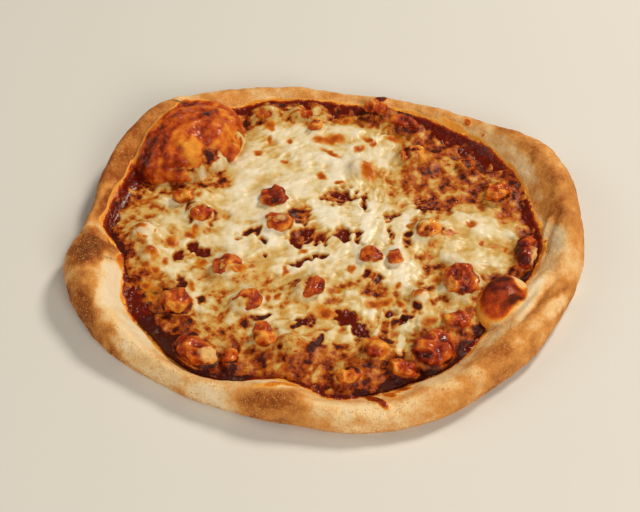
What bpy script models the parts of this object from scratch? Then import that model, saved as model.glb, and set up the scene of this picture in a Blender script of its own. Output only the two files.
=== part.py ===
"""Barbecue chicken pizza, whole and uncut.

A hand-stretched dough with a puffed, uneven rim and two baked bubbles carries a layer of barbecue sauce, a
layer of melted cheese with gaps in it, and loose chunks of chicken that stand in sockets of the cheese.

Units are metres. +X is the long way across, +Y the far side, +Z up, and the underside rests at Z = 0.
Sizes in the tables are millimetres and bearings are degrees, counted from +X towards +Y.
"""

import math

import bmesh
import bpy
from mathutils import Vector, noise

MM = 0.001
MIDDLE = (1.4, 5.2, 0)  # middle of the outline in the tables below, which becomes the origin

# Layers, from the underside up
FLOOR = 4.6 * MM  # dough under the toppings
GAP = 0.35 * MM  # clearance between pieces that touch
SAUCE_DEPTH = 1.6 * MM
SAUCE_EDGE_DEPTH = 0.5 * MM
CHEESE_DEPTH = 3.2 * MM
CHEESE_EDGE_DEPTH = 1.5 * MM
CHEESE_THINS = 0.9  # where the cheese starts to thin, as a share of the way to its edge
EDGE_BAND = 3 * MM  # least width of the outermost ring under the cheese
EDGE_WAVES = (3.1, 8.3)  # how finely the edge of the cheese waves in and out
CHEESE_RIPPLE, RIPPLE_SIZE = 1.2 * MM, 13 * MM
CHEESE_SWELL = 1.8 * MM  # how far the cheese swells over chicken
SWELL_SPREAD = 0.42  # how wide the swelling is, as a share of the chunk's length and width together

# The rim, as (bearing, reach, sauce line, crest height, width of the sauce left bare)
RIM = (
    (0, 147.5, 124, 21, 6),
    (12, 152.5, 124, 23, 8),
    (22, 156, 127, 24, 10),
    (31, 154, 127.5, 23, 12),
    (39, 144, 127, 20, 13),
    (49, 140, 124, 17, 13),
    (60, 134.5, 123, 15, 11),
    (74, 132, 120.5, 14, 7),
    (86, 132.5, 121, 14, 5),
    (97, 136, 124.5, 15, 4),
    (108, 142, 128, 15, 5),
    (116, 148, 130, 15, 7),
    (123, 151, 132, 18, 8),
    (130, 150, 131, 26, 8),
    (138, 150.5, 131, 27, 8),
    (148, 148, 131, 24, 8),
    (158, 144, 130, 20, 9),
    (167, 140.5, 129.5, 17, 7),
    (174, 140, 129, 17, 8),
    (179, 143, 121, 21, 6),
    (185, 147.5, 115, 24, 5),
    (193, 147, 116.5, 24, 8),
    (204, 142, 118, 20, 12),
    (215, 136, 114.5, 17, 13),
    (225, 129, 115, 15, 13),
    (235, 125, 112.5, 15, 10),
    (245, 122, 104, 17, 6),
    (254, 122, 95.5, 20, 3),
    (263, 122, 98, 19, 3),
    (271, 124, 105, 16, 4),
    (282, 127.5, 105.5, 15.5, 6),
    (296, 130, 105.5, 17, 8),
    (310, 131.5, 108, 18.5, 10),
    (324, 134.5, 105.5, 20, 9),
    (338, 139, 109, 20, 8),
    (350, 144, 117.5, 20, 7),
)
CREST_SHARE = 0.42  # how far in from the reach the crest lies, as a share of the rim's width
FOOT_SHARE = 0.24  # the same for the edge that rests on the table
WAIST_SHARE = 0.40  # height of the rim's widest line, as a share of the crest's
SLOPE_RUN, SLOPE_SWING = 6.5 * MM, 3.5 * MM  # how far inside the sauce line the dough starts to climb
SLOPE_RINGS = (0.4, 0.75, 1.0)  # rings from the sauce line up to the crest, as shares of the way
FLAT_BAND = 12 * MM  # width of the last flat ring before the slope
LUMP_SIZE, LUMP_HEIGHT = 19 * MM, 1.3 * MM  # uneven swellings of the rim

# Baked bubbles and a fold, as (name, middle's x, y and z, radii along, across and up, turn)
BUBBLES = (
    ("large_bubble", -86, 85, 7, 38, 31, 22, 35),
    ("small_bubble", 97, -42.5, 7, 20, 13.5, 13, 60),
    ("pinched_fold", 118, -35, 10, 17, 6, 8.5, 48),
)
BUBBLE_SIDES, BUBBLE_RINGS = 18, 10
BUBBLE_CUT = 1.5 * MM  # height, inside the dough, at which their undersides are trimmed

# Chicken, as (x, y, length, depth, height, turn)
CHICKEN = (
    (-30, 37, 15, 13, 8.5, 20),
    (-6, 99, 10, 8, 7.5, 40),
    (53, 72, 17, 14, 8.5, -10),
    (102, 41, 15, 12, 8, 30),
    (113, -8, 12, 21, 10, -8),
    (75.5, -29.5, 18, 22, 11.5, 15),
    (58, 10, 14, 13, 8.5, 0),
    (26, -10, 13, 12, 8, 10),
    (39, -10, 8, 9, 7.5, 0),
    (-27, 17, 16, 11, 8, -15),
    (-55, -18, 15, 14, 8.5, 25),
    (-82, -43, 17, 15, 10, -20),
    (-43, -43, 16, 14, 8, 35),
    (-33, -67, 11, 15, 8.5, 20),
    (-69, -79, 25, 14, 10, -30),
    (-51, -81, 8, 8, 7, 0),
    (-19, -74, 15, 12, 8.5, -10),
    (-9, -33, 17, 10, 7.5, 15),
    (27, -76, 13, 13, 8.5, 0),
    (57, -77, 23, 20, 11.5, 20),
    (41, -89, 15, 9, 7.5, -20),
    (-80, 38, 20, 9, 8, 8),
    (-73, 25, 14, 11, 8, -25),
    (-104, 9, 12, 10, 7.5, 0),
    (-36, 111, 14, 8, 7.5, 8),
    (-15, 110, 15, 8, 7.5, -5),
    (32, 112, 15, 9, 7.5, -18),
    (50, 101, 18, 8, 7.5, -22),
    (85, 65, 9, 9, 7, 0),
    (12, -93, 13, 8, 7.5, 5),
    (72, -56, 14, 9, 7, 15),
    (52, -40, 9, 9, 7, 0),
    (20, 62, 11, 9, 7, 30),
    (-100, -8, 10, 8, 7, 60),
)

# Gaps in the cheese through which the sauce shows, as (x, y, length, width, turn)
GAPS = (
    (-41, 7, 14, 5, -25),
    (-10, 11, 15, 5, 12),
    (15, 8, 11, 7, -20),
    (9, 42, 16, 7, -8),
    (41, 25, 12, 4, 10),
    (47, 7, 11, 3.5, 88),
    (27, -25, 10, 6, -15),
    (-9, -9, 17, 3.5, 14),
    (-68, 7, 9, 5, 60),
    (-17, 27, 8, 5, 30),
    (73, 27, 12, 7, 40),
    (-92, -21, 10, 6, 75),
    (2, -55, 12, 4, 8),
    (-58, -59, 12, 7, -35),
    (86, 23, 12, 6, -35),
)

BOXINESS = 3  # 2 is an egg, more is a cube with rounded edges
TEAR, TEAR_SIZE = 0.16, 1.6  # how uneven a chunk is, as a share of its radius, and how finely
SEAT = 0.56  # height of a chunk's middle over its base, as a share of its height
SEED_STEP = Vector((1.7, 5.3, 9.1))  # how far apart in the noise two chunks lie, so that no two are alike
PROBES = 8  # places under a chunk's edge at which the height of the sauce is read

SIDE_ARC = tuple(math.radians(t) for t in (30, 58, 90))  # points from the crest down to the waist
UNDER_ARC = math.radians(50)  # point from the waist down to the foot

STATIONS = 96  # bearings round the dough, the sauce and the cheese
CHEESE_RINGS = (0.0, 0.12, 0.24, 0.36, 0.48, 0.59, 0.70, 0.80, 0.90, 0.97)
GAP_SIDES, GAP_HEIGHT = 9, 40  # the cutter of a gap goes right through
SHARP_ANGLE = math.radians(40)


def around(column, bearing):
    """One column of the rim's table at a bearing in degrees, on a smooth closed curve, in metres."""
    bearing %= 360
    count = len(RIM)
    after = next((i for i, row in enumerate(RIM) if row[0] > bearing), count)

    def station(i):
        turns, place = divmod(i, count)
        return RIM[place][0] + 360 * turns, RIM[place][column]

    (b0, v0), (b1, v1), (b2, v2), (b3, v3) = (station(after + k) for k in (-2, -1, 0, 1))
    t = (bearing - b1) / (b2 - b1)
    slope1 = (v2 - v0) / (b2 - b0) * (b2 - b1)
    slope2 = (v3 - v1) / (b3 - b1) * (b2 - b1)
    curve = (2 * t**3 - 3 * t**2 + 1) * v1 + (t**3 - 2 * t**2 + t) * slope1
    return MM * (curve + (3 * t**2 - 2 * t**3) * v2 + (t**3 - t**2) * slope2)


def smooth(t):
    """A step from 0 to 1 that starts and ends level."""
    t = max(0.0, min(1.0, t))
    return t * t * (3 - 2 * t)


def rim_at(bearing):
    """Reach, sauce line, crest radius and crest height at a bearing."""
    reach, line, height = (around(column, bearing) for column in (1, 2, 3))
    crest = reach - CREST_SHARE * (reach - line)
    a = math.radians(bearing)
    lump = noise.noise(Vector((crest * math.cos(a), crest * math.sin(a), 0)) / LUMP_SIZE)
    return reach, line, crest, height + LUMP_HEIGHT * lump


def slope_start(bearing):
    """Radius at which the dough starts to climb. On the far side the sauce lies higher up the slope."""
    return around(2, bearing) - SLOPE_RUN - SLOPE_SWING * math.sin(math.radians(bearing))


def dough_height(bearing, radius):
    """Height of the dough's upper surface inside the crest."""
    _, _, crest, height = rim_at(bearing)
    start = slope_start(bearing)
    return FLOOR + (height - FLOOR) * smooth((radius - start) / (crest - start))


def floor_rings(bearing):
    """Radii of the rings under the toppings, from the middle out to the sauce line."""
    line, start = around(2, bearing), slope_start(bearing)
    return [0.5 * line, start - FLAT_BAND, start, 0.5 * (start + line), line]


def dough_section(bearing):
    """The dough's section, as (radius, height), from the middle of the top to the middle of the underside."""
    reach, line, crest, height = rim_at(bearing)
    inner = floor_rings(bearing) + [line + share * (crest - line) for share in SLOPE_RINGS]
    top = [(radius, dough_height(bearing, radius)) for radius in inner]
    waist = WAIST_SHARE * height
    side = [
        (crest + (reach - crest) * math.sin(a), waist + (height - waist) * math.cos(a))
        for a in SIDE_ARC
    ]
    foot = reach - FOOT_SHARE * (reach - line)
    side.append((foot + (reach - foot) * math.cos(UNDER_ARC), waist * (1 - math.sin(UNDER_ARC))))
    return [(0, FLOOR), *top, *side, (foot, 0), (0.5 * foot, 0), (0, 0)]


def sauce_rings(bearing):
    """The rings of the sauce's upper surface, as (radius, height), from the middle to its thin edge."""
    line, start = around(2, bearing), slope_start(bearing)
    rings = [(0, FLOOR + GAP + SAUCE_DEPTH)]
    for radius in floor_rings(bearing):
        thin = smooth((radius - start) / (line - start))
        depth = SAUCE_DEPTH + (SAUCE_EDGE_DEPTH - SAUCE_DEPTH) * thin
        rings.append((radius, dough_height(bearing, radius) + GAP + depth))
    return rings


def sauce_top(bearing, radius):
    """Height of the sauce's upper surface, straight between its rings."""
    rings = sauce_rings(bearing)
    for (r0, z0), (r1, z1) in zip(rings, rings[1:]):
        if radius <= r1:
            break
    return z0 + (z1 - z0) * (radius - r0) / (r1 - r0)


def sauce_section(bearing):
    """The sauce's section, from the middle of its top to the middle of its underside."""
    rings = floor_rings(bearing)
    under = [(radius, dough_height(bearing, radius) + GAP) for radius in reversed(rings)]
    return [*sauce_rings(bearing), *under, (0, FLOOR + GAP)]


def cheese_edge(bearing):
    """Radius of the cheese's wavy edge, which leaves a ring of sauce bare."""
    a = math.radians(bearing)
    bare = around(4, bearing)
    waves = [noise.noise(Vector((fine * math.cos(a), fine * math.sin(a), fine))) for fine in EDGE_WAVES]
    return around(2, bearing) - bare * (1 - sum(waves) / len(waves))


def cheese_depth(x, y):
    """Thickness of the melted cheese, which swells over the chicken in it."""
    depth = CHEESE_DEPTH + CHEESE_RIPPLE * noise.noise(Vector((x, y, 0)) / RIPPLE_SIZE)
    for cx, cy, length, width, *_ in CHICKEN:
        spread = SWELL_SPREAD * (length + width) * MM
        near = ((x - cx * MM) ** 2 + (y - cy * MM) ** 2) / spread**2
        depth += CHEESE_SWELL * math.exp(-near)
    return depth


def cheese_section(bearing):
    """The cheese's section, from the middle of its top to the middle of its underside."""
    edge, a = cheese_edge(bearing), math.radians(bearing)
    top = []
    for share in CHEESE_RINGS:
        radius = share * edge
        depth = cheese_depth(radius * math.cos(a), radius * math.sin(a))
        depth += (CHEESE_EDGE_DEPTH - depth) * smooth((share - CHEESE_THINS) / (1 - CHEESE_THINS))
        top.append((radius, sauce_top(bearing, radius) + GAP + depth))
    top.append((edge, sauce_top(bearing, edge) + GAP + CHEESE_EDGE_DEPTH))
    *rings, slope = floor_rings(bearing)[:3]
    under = [edge, min(slope, edge - EDGE_BAND), *reversed(rings)]
    under = [(radius, sauce_top(bearing, radius) + GAP) for radius in under]
    return [*top, *under, (0, FLOOR + 2 * GAP + SAUCE_DEPTH)]


def material(name, colour, roughness):
    """A plain finish in one colour."""
    made = bpy.data.materials.new(name)
    made.use_nodes = True
    shader = made.node_tree.nodes["Principled BSDF"]
    shader.inputs["Base Color"].default_value = (*colour, 1)
    shader.inputs["Roughness"].default_value = roughness
    return made


def add_object(name, body, finish=None, location=(0, 0, 0), turn=0):
    """Turns a bmesh into a named object with one finish, placed and turned about its own upright axis."""
    bmesh.ops.recalc_face_normals(body, faces=body.faces)
    mesh = bpy.data.meshes.new(name)
    body.to_mesh(mesh)
    body.free()
    made = bpy.data.objects.new(name, mesh)
    made.location = location
    made.rotation_euler.z = math.radians(turn)
    bpy.context.scene.collection.objects.link(made)
    if finish:
        mesh.materials.append(finish)
    return made


def turned_body(section):
    """A closed round body whose section changes with the bearing. Its poles are the section's two ends."""
    rings = len(section(0)) - 1
    body = bmesh.new()
    bmesh.ops.create_uvsphere(body, u_segments=STATIONS, v_segments=rings, radius=1)
    sections = {}
    for vertex in body.verts:
        ring = round(math.acos(max(-1.0, min(1.0, vertex.co.z))) / math.pi * rings)
        a = 0.0 if ring in (0, rings) else math.atan2(vertex.co.y, vertex.co.x)
        bearing = round(math.degrees(a), 3)
        if bearing not in sections:
            sections[bearing] = section(bearing)
        radius, height = sections[bearing][ring]
        vertex.co = (radius * math.cos(a), radius * math.sin(a), height)
    return body


def helper_set(name):
    """A collection for helpers that shape other objects and aren't part of the pizza."""
    made = bpy.data.collections.new(name)
    bpy.context.scene.collection.children.link(made)
    return made


def add_helper(group, *settings):
    """An unseen object in a helper collection."""
    made = add_object(*settings)
    bpy.context.scene.collection.objects.unlink(made)
    group.objects.link(made)
    made.hide_render = True
    made.display_type = "WIRE"


def apply_boolean(target, group, operation):
    """Joins a helper collection to the object, or cuts it away, and removes the helpers."""
    cut = target.modifiers.new(operation, "BOOLEAN")
    cut.operation = operation
    cut.operand_type = "COLLECTION"
    cut.collection = group
    cut.solver = "EXACT"
    evaluated = target.evaluated_get(bpy.context.evaluated_depsgraph_get())
    mesh = bpy.data.meshes.new_from_object(evaluated)
    target.modifiers.clear()
    old, target.data = target.data, mesh
    bpy.data.meshes.remove(old)
    mesh.name = target.name
    for helper in list(group.objects):
        bpy.data.objects.remove(helper)
    bpy.data.collections.remove(group)


def add_bubbles(group, swell):
    """Adds the baked bubbles and the pinched fold to a helper collection, grown all round by swell."""
    for name, x, y, z, along, across, up, turn in BUBBLES:
        body = bmesh.new()
        bmesh.ops.create_uvsphere(body, u_segments=BUBBLE_SIDES, v_segments=BUBBLE_RINGS, radius=1)
        size = Vector((along, across, up)) * MM + Vector((swell, swell, swell))
        bmesh.ops.scale(body, vec=size, verts=body.verts)
        bmesh.ops.bisect_plane(
            body,
            geom=[*body.verts, *body.edges, *body.faces],
            plane_co=(0, 0, BUBBLE_CUT - z * MM),
            plane_no=(0, 0, 1),
            clear_inner=True,
        )
        bmesh.ops.holes_fill(body, edges=[edge for edge in body.edges if edge.is_boundary])
        add_helper(group, name, body, None, Vector((x, y, z)) * MM, turn)


def make_dough(finish):
    """The baked dough, with its bubbles and its fold joined on."""
    dough = add_object("dough", turned_body(dough_section), finish)
    group = helper_set("bubbles")
    add_bubbles(group, 0)
    apply_boolean(dough, group, "UNION")


def make_sauce(finish):
    """The sauce, clear of the bubbles."""
    sauce = add_object("barbecue_sauce", turned_body(sauce_section), finish)
    group = helper_set("sauce_cutters")
    add_bubbles(group, GAP)
    apply_boolean(sauce, group, "DIFFERENCE")


def make_cheese(finish):
    """The melted cheese, clear of the bubbles, with gaps over the sauce and a socket for each chunk."""
    cheese = add_object("melted_cheese", turned_body(cheese_section), finish)
    group = helper_set("cheese_cutters")
    add_bubbles(group, GAP)
    for x, y, length, width, turn in GAPS:
        body = bmesh.new()
        bmesh.ops.create_cone(body, cap_ends=True, segments=GAP_SIDES, radius1=0.5, radius2=0.5, depth=1)
        bmesh.ops.scale(body, vec=Vector((length, width, GAP_HEIGHT)) * MM, verts=body.verts)
        add_helper(group, "gap", body, None, Vector((x, y, GAP_HEIGHT / 2)) * MM, turn)
    for k in range(len(CHICKEN)):
        add_helper(group, "socket", chunk_body(k, GAP), None, chunk_middle(k), CHICKEN[k][-1])
    apply_boolean(cheese, group, "DIFFERENCE")


def chunk_middle(index):
    """The middle of a chunk of chicken, just clear of the sauce under it."""
    x, y, length, width, height, _ = (value * MM for value in CHICKEN[index])
    heights = [sauce_top(0, 0)]
    for k in range(PROBES):
        a = math.tau * k / PROBES
        px, py = x + length / 2 * math.cos(a), y + width / 2 * math.sin(a)
        heights.append(sauce_top(math.degrees(math.atan2(py, px)), math.hypot(px, py)))
    base = (max(heights) + sum(heights) / len(heights)) / 2 + GAP
    return Vector((x, y, base + SEAT * height))


def chunk_body(index, swell=0.0):
    """A torn cube of chicken about its own middle: boxy, uneven, and grown all round by swell."""
    half = Vector(CHICKEN[index][2:5]) * MM / 2
    body = bmesh.new()
    bmesh.ops.create_icosphere(body, subdivisions=2, radius=1)
    for vertex in body.verts:
        way = vertex.co.normalized()
        boxy = sum(abs(c) ** BOXINESS for c in way) ** (-1 / BOXINESS)
        torn = 1 + TEAR * noise.noise(way * TEAR_SIZE + SEED_STEP * index)
        vertex.co = Vector(way[k] * boxy * torn * half[k] for k in range(3)) + swell * way
    return body


def make_chicken(finish):
    """The chunks of chicken, each loose in its socket."""
    for k in range(len(CHICKEN)):
        add_object(f"chicken_{k + 1:02d}", chunk_body(k), finish, chunk_middle(k), CHICKEN[k][-1])


def centre_pizza():
    """Hangs every piece on an empty that brings the middle of the outline to the origin."""
    pieces = list(bpy.context.scene.objects)
    middle = bpy.data.objects.new("pizza", None)
    middle.location = -Vector(MIDDLE) * MM
    bpy.context.scene.collection.objects.link(middle)
    for piece in pieces:
        piece.parent = middle
        piece.data.shade_smooth()
        piece.data.set_sharp_from_angle(angle=SHARP_ANGLE)


def main():
    for old in list(bpy.data.objects):
        bpy.data.objects.remove(old)
    make_dough(material("baked_dough", (0.60, 0.34, 0.14), 0.75))
    make_sauce(material("barbecue_sauce", (0.14, 0.018, 0.006), 0.22))
    make_cheese(material("melted_cheese", (0.62, 0.45, 0.20), 0.38))
    make_chicken(material("glazed_chicken", (0.34, 0.09, 0.02), 0.3))
    centre_pizza()


main()
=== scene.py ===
"""Barbecue chicken pizza: the looks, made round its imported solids.

It is laid out as an add-on and run as a script. The tables hold millimetres and degrees, in the frame in
which the solids were drawn: bearings count from +X towards +Y, and MIDDLE, the middle of the outline, becomes
the origin. Everything is drawn in that frame and moved to the origin as its mesh is written.
"""

import itertools
import math

import bmesh
import bpy
import numpy as np
from mathutils import Matrix, Vector, noise


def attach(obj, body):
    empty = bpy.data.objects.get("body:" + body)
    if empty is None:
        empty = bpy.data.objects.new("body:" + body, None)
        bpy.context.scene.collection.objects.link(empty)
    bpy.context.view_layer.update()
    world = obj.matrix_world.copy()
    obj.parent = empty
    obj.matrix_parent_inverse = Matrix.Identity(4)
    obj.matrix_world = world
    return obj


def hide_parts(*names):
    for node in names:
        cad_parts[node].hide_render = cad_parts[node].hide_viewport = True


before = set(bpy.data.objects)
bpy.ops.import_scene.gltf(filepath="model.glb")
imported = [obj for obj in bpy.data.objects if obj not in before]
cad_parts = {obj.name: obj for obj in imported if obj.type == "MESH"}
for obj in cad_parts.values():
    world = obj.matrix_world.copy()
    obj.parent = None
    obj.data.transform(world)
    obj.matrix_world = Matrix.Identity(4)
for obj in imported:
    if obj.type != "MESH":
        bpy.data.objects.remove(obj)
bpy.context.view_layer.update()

bl_info = {
    "name": "Barbecue chicken pizza",
    "version": (1, 0, 0),
    "blender": (4, 5, 0),
    "location": "View3D > Sidebar > Pizza",
    "description": "Bakes a chicken pizza round its solids: dough, sauce, cheese, chicken and crumbs",
    "category": "Object",
}

MM = 0.001
MIDDLE = np.array((1.4, 5.2, 0.0))
BODY = "root"

# Layers, from the underside up
FLOOR = 4.6  # dough under the toppings
GAP = 0.35  # between the dough and the sauce
SAUCE_DEPTH, SAUCE_EDGE_DEPTH = 1.6, 0.5
SAUCE_TUCK, SAUCE_SUNK = 3, 1.5  # how far it runs past its line, and how far its underside lies in the dough
CHEESE_INSET = 0.5  # from the sauce line

# The rim, as (bearing, reach, sauce line, crest height, width of the sauce left bare)
RIM = (
    (0, 147.5, 124, 21, 6), (12, 152.5, 124, 23, 8), (22, 156, 127, 24, 10), (31, 154, 127.5, 23, 12),
    (39, 144, 127, 20, 13), (49, 140, 124, 17, 13), (60, 134.5, 123, 15, 11), (74, 132, 120.5, 14, 7),
    (86, 132.5, 121, 14, 5), (97, 136, 124.5, 15, 4), (108, 142, 128, 15, 5), (116, 148, 130, 15, 7),
    (123, 151, 132, 18, 8), (130, 150, 131, 26, 8), (138, 150.5, 131, 27, 8), (148, 148, 131, 24, 8),
    (158, 144, 130, 20, 9), (167, 140.5, 129.5, 17, 7), (174, 140, 129, 17, 8), (179, 143, 121, 21, 6),
    (185, 147.5, 115, 24, 5), (193, 147, 116.5, 24, 8), (204, 142, 118, 20, 12), (215, 136, 114.5, 17, 13),
    (225, 129, 115, 15, 13), (235, 125, 112.5, 15, 10), (245, 122, 104, 17, 6), (254, 122, 95.5, 20, 3),
    (263, 122, 98, 19, 3), (271, 124, 105, 16, 4), (282, 127.5, 105.5, 15.5, 6), (296, 130, 105.5, 17, 8),
    (310, 131.5, 108, 18.5, 10), (324, 134.5, 105.5, 20, 9), (338, 139, 109, 20, 8),
    (350, 144, 117.5, 20, 7),
)
CREST_SHARE, FOOT_SHARE = 0.42, 0.24  # how far in from the reach these lie, as shares of the rim's width
WAIST_SHARE = 0.40  # of the crest's height
SLOPE_RUN, SLOPE_SWING = 6.5, 3.5  # how far inside the sauce line the dough starts to climb
LUMP_SIZE, LUMP_HEIGHT = 19, 1.3  # of the crest
EDGE_WAVES = (3.1, 8.3)  # how finely the cheese's edge wanders

# Baked bubbles and a fold, as (x, y, length, width, turn, height of the middle, rise of the top above that,
# how softly it meets the rest)
BUBBLES = (
    (-86, 85, 76, 62, 35, 7, 22, 4.0),
    (97, -42.5, 40, 27, 60, 7, 13, 3.5),
    (118, -35, 34, 12, 48, 10, 8.5, 2.0),
)
LOBE, BLISTER = BUBBLES[:2]
WALL_FALL = 90  # how steeply a bubble's skin falls away outside its outline
LOBE_GRAIN = 62  # the bearing along which the sauce is streaked on the lobe
LOBE_CREEP, LOBE_COAT = -42, 1.7  # the bearing up which cheese has crept, and how thick it lies there
BLISTER_KNOB = (108, -31, 14, 12, 60)  # its end that stayed free of sauce

# Rings of the dough's mesh along the stretches of its section, which end at INNER, the sauce line, the crest,
# the waist, the foot and the middle of the underside
INNER = 80  # the dough is plain inside this radius, where the toppings hide it
STRETCH_RINGS = (3, 64, 32, 24, 10, 4)
CREST, WAIST, FOOT = 3, 4, 5  # how many stretches end at these
DOUGH_STATIONS = 700
SAUCE_STATIONS, SAUCE_RINGS, SAUCE_UNDER_RINGS = 420, 80, 20
CHEESE_CELLS = 300

# Relief of the dough, as (line through places, half width, depth). A ridge has a depth below 0
CREASES = (
    (((132, 14), (127, 4), (124, -8)), 1.8, 1.0),
    (((129, 15), (124, 5), (121, -8)), 1.5, -1.4),
    (((138, 10), (134, 1), (130, -10)), 2.2, 0.4),
    (((104, -62), (112, -54), (119, -43), (126, -33)), 2.2, 2.0),
    (((107, -67), (117, -57), (125, -45), (132, -36)), 1.3, -1.0),
    (((-145, 3), (-134, 3), (-125, 1), (-117, 6)), 2.4, 2.6),
    (((-82, 113), (-73, 113), (-64, 108), (-54, 106), (-49, 101)), 1.6, -1.8),
    (((-96, 109), (-88, 109), (-76, 108.5), (-64, 104), (-55, 102), (-50, 97)), 1.1, 1.6),
    (((-75, 80), (-74, 73), (-71, 62)), 2.0, 1.8),
    (((-98, 62), (-90, 66), (-84, 60)), 2.0, 1.4),
    (((74, -106), (84, -100), (95, -92)), 3.0, 0.9),
    (((-50, -112), (-40, -108), (-20, -107), (-6, -112)), 2.2, 0.9),
)

# Swellings of the lobe's sauced skin, as (x, y, length, width, turn, height)
LOBE_SWELLS = (
    (-80, 66, 15, 12, 58, 2.0), (-64, 80, 14, 20, 30, 1.8), (-86, 82, 12, 18, 10, 1.2),
    (-60, 92, 12, 9, 60, 1.4), (-95, 74, 14, 9, 60, 0.9),
)

# Places on the crust where it is browned or left pale, as (x, y, length, width, turn, how far it is baked).
# Some rows also hold painted light and shade: the pale rows along the front foot are partly painted light,
# and the browner rows on the left outer flank and in the groove beside the small bubble are partly painted
# shade
BAKED_AND_PAINTED_LIGHT = (
    (-126, 58, 70, 40, 70, 0.64), (-118, 82, 54, 22, -63, 0.64), (-103, 99, 28, 14, 20, 0.54),
    (-126, 30, 30, 12, 68, 0.80), (-121, 12, 20, 10, 80, 0.52), (140, 30, 90, 34, -75, 0.48),
    (123, 64, 24, 12, -59, 0.58), (131, 46, 18, 9, -65, 0.56), (135, 22, 14, 11, 73, 0.62),
    (144, 6, 26, 8, 70, 0.50), (112, 88, 28, 14, -58, 0.60), (117.5, 61, 28, 8, -70, 0.22),
    (78, 108, 40, 14, -35, 0.42), (20, 125, 90, 14, 0, 0.40), (-50, 128, 60, 14, 12, 0.40),
    (127, 6, 34, 9, -67, 0.22), (130, -45, 34, 18, 32, 0.64), (118, -68, 34, 18, 40, 0.46),
    (111, -46, 30, 7, 62, 0.14), (119, -47, 34, 5, 50, 0.50), (124, -51, 36, 6, 48, 0.26),
    (89, -87, 32, 19, 43, 0.58), (91, -84, 13, 7, 30, 0.66), (75, -100, 14, 10, 30, 0.38),
    (59, -114, 34, 9, 17, 0.42), (20, -118, 50, 10, 4, 0.16), (-6, -117, 22, 10, -4, 0.28),
    (-29, -115, 38, 15, -12, 0.56), (-30, -114, 25, 8, -12, 0.66), (-62, -108, 34, 12, -24, 0.10),
    (-92, -90, 30, 14, -29, 0.20), (-115, -72, 24, 13, -41, 0.68), (-133, -50, 36, 16, -50, 0.72),
    (-129, -12, 36, 30, 60, 0.76), (-131, -14, 22, 16, 60, 0.84), (-117, -36, 50, 15, 87, 0.10),
    (-102, -66, 38, 17, 88, 0.14),
)

# Sauce on the crust, as (x, y, length, width, turn, how thick from 0 to 1, how far it stands out)
DABS = (
    (26, -111, 19, 5, -52, 0.84, 0.7), (33, -106, 8, 6, -40, 0.50, 0.4), (37, -104, 5, 4, 0, 0.42, 0.4),
    (40, -101, 8, 5, 30, 0.55, 0.3), (-115, 58, 10, 5, 81, 0.85, 0.6), (80, 97, 20, 4, -40, 0.28, 0.2),
    (88, 97, 5.5, 4, -73, 0.55, 0.6), (97, 86, 2, 2, 0, 0.60, 0.3), (34, 121, 14, 5, 24, 0.95, 0.4),
    (38, 126, 5, 4, 30, 1.00, 0.3), (-5, 117, 16, 5, 0, 0.80, 0.5), (-20, -104, 30, 4, 8, 0.35, 0.2),
    (-114, -7, 20, 7, 80, 0.46, 0.2),
)

# The sauced skin of the lobe: its outline, and places that differ, as (x, y, length, width, turn, how thick)
LOBE_OUTLINE = (
    (-120, 50), (-113, 65), (-108, 78), (-100, 90), (-92, 104), (-86, 111), (-73, 112), (-62, 108),
    (-50, 104), (-40, 92), (-46, 72), (-60, 50), (-90, 38),
)
LOBE_SAUCE = (
    (-101, 70, 34, 16, 58, 0.66), (-84, 76, 24, 16, 80, 0.52), (-60, 78, 26, 22, 60, 0.46),
    (-74, 72, 18, 5, -84, 0.84), (-80, 66, 14, 11, 58, 0.20), (-78, 57, 12, 6, 25, 0.10),
    (-52, 82, 9, 14, 30, 0.38), (-109, 62, 34, 11, 62, 0.86), (-87, 58, 8, 6, 10, 0.80),
    (-72, 95, 12, 9, 20, 0.72), (-62, 66, 10, 8, 40, 0.66), (-55, 90, 8, 12, 85, 0.48),
    (-62, 99, 12, 6, -50, 0.28), (-48, 84, 7, 24, 20, 0.62), (-86, 106, 16, 5, 10, 0.90),
)

# Burnt spots, as (x, y, length, width, turn, how black). The thin line at (-88, 108), along the fold where
# the back rim meets the lobe, is partly burnt and partly a painted shadow line
BURNS_AND_FOLD_SHADOW = (
    (-72, 93, 6, 4.5, 80, 1.0), (-88, 108, 13, 3, 15, 0.8), (93, -36, 18, 13, 60, 0.14),
    (101, -48, 12, 5.5, 32, 0.85), (96.5, -51.5, 8, 4.5, 60, 0.55), (97, -33, 14, 7, 20, 0.40),
    (-121, -15, 7, 1.2, 35, 0.4),
)

# Cheese as it was laid, one patch over another, as (x, y, length, width, turn, thickness, how far it is
# broken into lace, how far it is melted smooth)
LAID = (
    (0, 0, 400, 400, 0, 0.60, 1.00, 0.2),
    (84, 62, 100, 78, -49, 0.42, 0.80, 0.1),
    (-2, -90, 170, 32, 0, 0.40, 0.85, 0.1),
    (-92, -52, 72, 30, -62, 0.40, 0.85, 0.2),
    (-98, 28, 44, 36, 0, 1.50, 0.90, 0.3),
    (-72, 10, 76, 62, 10, 2.00, 0.85, 0.5),
    (-62, -30, 56, 44, -50, 1.70, 1.00, 0.4),
    (-6, -50, 108, 38, 0, 1.50, 1.10, 0.2),
    (54, -42, 60, 34, 20, 1.60, 1.05, 0.3),
    (4, 8, 114, 70, 8, 2.50, 0.50, 0.6),
    (-8, 74, 98, 78, 4, 2.40, 0.55, 0.9),
    (-42, 38, 36, 34, 0, 2.60, 0.40, 0.8),
    (38, -20, 34, 20, 0, 2.40, 0.50, 0.7),
    (-20, 110, 60, 18, 0, 1.00, 1.20, 0.4),
    (88, 6, 58, 46, 58, 1.90, 0.40, 1.0),
    (99, -10, 22, 16, 10, 1.90, 0.40, 1.0),
)

CHEESE_LOW, CHEESE_HIGH = -1.2, 4.4  # limits of its thickness, which is below 0 where it is gone
SHRED_WAYS = (24, 78, -38)  # bearings of its shreds: at the left, at the right and elsewhere
STRANDS_FROM = (32, 24)
SPILL, SPILL_SPREAD, SPILL_REACH = 34, 28, 7  # the bearing round which it runs far over its edge

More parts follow.
